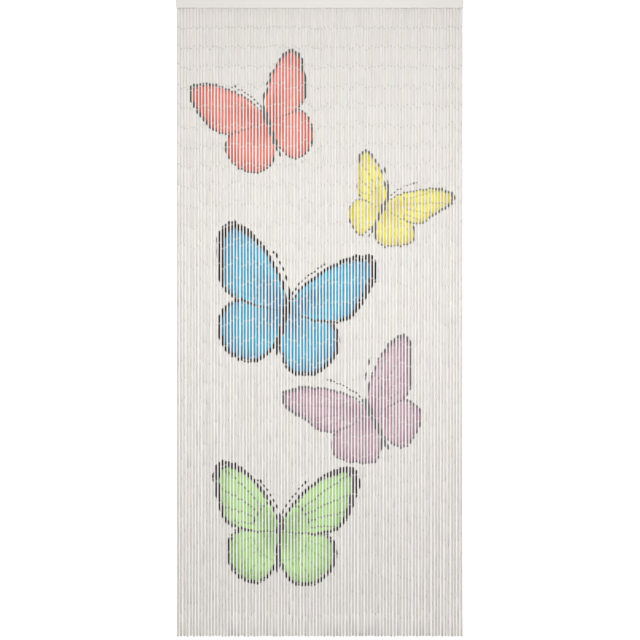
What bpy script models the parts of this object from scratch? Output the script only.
# A bamboo fly screen curtain: ninety strands of linked bamboo tubes that hang from a painted wooden rail.
# Units are metres. X runs along the rail, +Y points out of its back, towards the wall, and +Z is up.
# The origin is the middle of the rail's back face, which is what the curtain hangs by.

import math
import random

import bmesh
import bpy

# The rail is a batten. A groove along its underside hides the eyes that the strands hook on.
RAIL_LENGTH = 0.903
RAIL_DEPTH = 0.014
RAIL_HEIGHT = 0.028
RAIL_EDGE = 0.0010
GROOVE_WIDTH = 0.008
GROOVE_DEPTH = 0.007
GROOVE_END = 0.004

# The hanger strip lies in the groove and holds the roots of all the strands.
CLEARANCE = 0.0005
STRIP_HEIGHT = 0.003
STRIP_INSET = 0.0008

# The strands
STRANDS = 90
PITCH = 0.010
CURTAIN_HEIGHT = 2.0
TUBE_RADIUS = 0.0031
NECK_RADIUS = 0.0009
NECK_DROP = 0.0004
SHOULDER = 0.0009
RINGS = 8
END_UNEVENNESS = 0.002
END_SWAY = 0.0009
DEPTH_SWAY = 0.0008
BENDS_LOW, BENDS_HIGH = 0.8, 2.2
SEED = 11

# Heights and depths that follow from these
RAIL_UNDERSIDE = -RAIL_HEIGHT / 2
STRAND_DEPTH = -RAIL_DEPTH / 2
STRIP_TOP = RAIL_UNDERSIDE + GROOVE_DEPTH - CLEARANCE
STRIP_BOTTOM = STRIP_TOP - STRIP_HEIGHT
CURTAIN_BOTTOM = RAIL_HEIGHT / 2 - CURTAIN_HEIGHT

RAIL_COLOUR = (0.78, 0.75, 0.71)
BAMBOO_COLOUR = (0.70, 0.67, 0.61)


def clear_scene():
    for obj in list(bpy.data.objects):
        bpy.data.objects.remove(obj)


def new_collection(name):
    collection = bpy.data.collections.new(name)
    bpy.context.scene.collection.children.link(collection)
    return collection


def move_to(obj, collection):
    for old in list(obj.users_collection):
        old.objects.unlink(obj)
    collection.objects.link(obj)


def make_material(name, colour, roughness):
    material = bpy.data.materials.new(name)
    material.use_nodes = True
    shader = material.node_tree.nodes["Principled BSDF"]
    shader.inputs["Base Color"].default_value = (*colour, 1.0)
    shader.inputs["Roughness"].default_value = roughness
    shader.inputs["Metallic"].default_value = 0.0
    return material


def add_box(name, size, centre, collection):
    """A box with its scale applied, so that Bevel and Boolean work in true sizes."""
    bpy.ops.mesh.primitive_cube_add(size=1.0, location=centre)
    box = bpy.context.active_object
    box.name = name
    box.scale = size
    bpy.ops.object.transform_apply(location=False, rotation=False, scale=True)
    move_to(box, collection)
    return box


def as_helper(obj):
    obj.hide_render = True
    obj.display_type = "WIRE"


def add_boolean(obj, other, operation):
    modifier = obj.modifiers.new(operation.title(), "BOOLEAN")
    modifier.operation = operation
    modifier.object = other


def add_rail(parts, helpers):
    size = (RAIL_LENGTH, RAIL_DEPTH, RAIL_HEIGHT)
    rail = add_box("rail", size, (0, STRAND_DEPTH, 0), parts)
    bevel = rail.modifiers.new("Edges", "BEVEL")
    bevel.width = RAIL_EDGE
    bevel.segments = 2
    groove_length = RAIL_LENGTH - 2 * GROOVE_END
    overlap = GROOVE_DEPTH
    groove = add_box(
        "groove_cutter",
        (groove_length, GROOVE_WIDTH, GROOVE_DEPTH + overlap),
        (0, STRAND_DEPTH, RAIL_UNDERSIDE + (GROOVE_DEPTH - overlap) / 2),
        helpers,
    )
    as_helper(groove)
    add_boolean(rail, groove, "DIFFERENCE")
    rail.data.materials.append(make_material("painted_rail", RAIL_COLOUR, 0.45))


def strand_points(index, rng):
    """(x, y, z, radius) down one strand: its root in the strip, its neck, and the line in which it hangs."""
    x = (index - (STRANDS - 1) / 2) * PITCH
    bottom = CURTAIN_BOTTOM + rng.uniform(-END_UNEVENNESS, END_UNEVENNESS)
    top = RAIL_UNDERSIDE - NECK_DROP
    drop = top - SHOULDER - bottom
    lean = rng.uniform(-1, 1)
    phase = rng.uniform(0, 2 * math.pi)
    bends = rng.uniform(BENDS_LOW, BENDS_HIGH)
    root = (STRIP_TOP + STRIP_BOTTOM) / 2
    points = [(x, STRAND_DEPTH, root, NECK_RADIUS), (x, STRAND_DEPTH, top, NECK_RADIUS)]
    for ring in range(RINGS):
        share = ring / (RINGS - 1)
        wave = math.sin(phase + bends * math.tau * share) * math.sqrt(share)
        side = END_SWAY * (0.5 * lean * share + 0.5 * wave)
        depth = DEPTH_SWAY * math.cos(phase + bends * math.pi * share) * share
        points.append((x + side, STRAND_DEPTH + depth, bottom + drop * (1 - share), TUBE_RADIUS))
    return points


def add_strand_rods(helpers):
    """All the strands as one curve of four-sided rods, made a mesh so that it can be joined to the strip."""
    rng = random.Random(SEED)
    curve = bpy.data.curves.new("strand_lines", "CURVE")
    curve.dimensions = "3D"
    curve.bevel_depth = TUBE_RADIUS
    curve.bevel_resolution = 0
    curve.use_fill_caps = True
    for index in range(STRANDS):
        points = strand_points(index, rng)
        spline = curve.splines.new("POLY")
        spline.points.add(len(points) - 1)
        for target, (x, y, z, radius) in zip(spline.points, points):
            target.co = (x, y, z, 1.0)
            target.radius = radius / TUBE_RADIUS
    lines = bpy.data.objects.new("strand_lines", curve)
    helpers.objects.link(lines)
    bpy.context.view_layer.update()
    evaluated = lines.evaluated_get(bpy.context.evaluated_depsgraph_get())
    rods = bpy.data.objects.new("strand_rods", bpy.data.meshes.new_from_object(evaluated))
    rods.matrix_world = lines.matrix_world
    helpers.objects.link(rods)
    bpy.data.objects.remove(lines)
    mesh = bmesh.new()
    mesh.from_mesh(rods.data)
    bmesh.ops.remove_doubles(mesh, verts=mesh.verts, dist=1e-6)
    mesh.to_mesh(rods.data)
    mesh.free()
    as_helper(rods)
    return rods


def add_strands(parts, helpers):
    size = (
        RAIL_LENGTH - 2 * GROOVE_END - 2 * STRIP_INSET,
        GROOVE_WIDTH - 2 * STRIP_INSET,
        STRIP_HEIGHT,
    )
    centre = (0, STRAND_DEPTH, (STRIP_TOP + STRIP_BOTTOM) / 2)
    strands = add_box("strands", size, centre, parts)
    add_boolean(strands, add_strand_rods(helpers), "UNION")
    strands.data.materials.append(make_material("painted_bamboo", BAMBOO_COLOUR, 0.5))


def main():
    clear_scene()
    parts = new_collection("bamboo_fly_screen_curtain")
    helpers = new_collection("helpers")
    add_rail(parts, helpers)
    add_strands(parts, helpers)


main()
